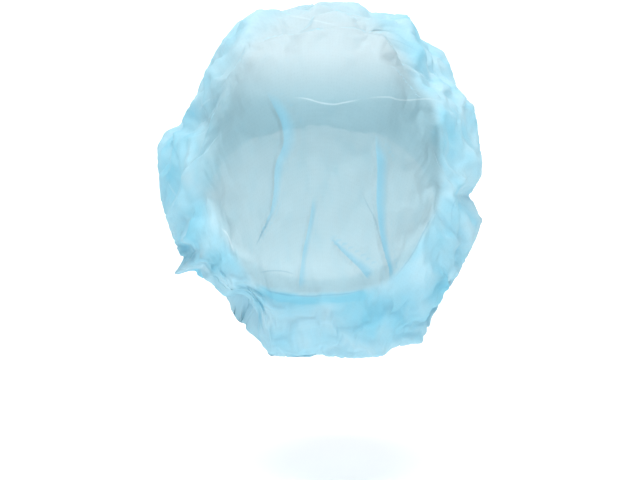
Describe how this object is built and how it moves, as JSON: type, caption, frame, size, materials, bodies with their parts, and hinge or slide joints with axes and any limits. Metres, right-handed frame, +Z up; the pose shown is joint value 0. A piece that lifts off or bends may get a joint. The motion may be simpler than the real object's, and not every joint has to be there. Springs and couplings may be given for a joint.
{
  "type": "disposable bouffant hairnet",
  "caption": "Disposable bouffant cap of thin nonwoven cloth in its worn form: a full bag with a drooping back pouch, gathered on an elastic hem.",
  "frame": {"origin": "centre of the elastic loop, where the cap sits on a head", "axes": "+Z up, the wearer faces -Y, the full pouch hangs at +Y, the wearer's left side is +X"},
  "size_m": [0.2151, 0.241, 0.2225],
  "materials": {
    "cloth": "thin translucent sky-blue spunbond nonwoven, crumpled",
    "hem_cloth": "the same nonwoven, folded double and gathered, so a deeper blue",
    "elastic": "flat white elastic"
  },
  "bodies": {
    "root": {"crown": "cloth", "hem": "hem_cloth", "elastic_band": "elastic"}
  },
  "joints": []
}
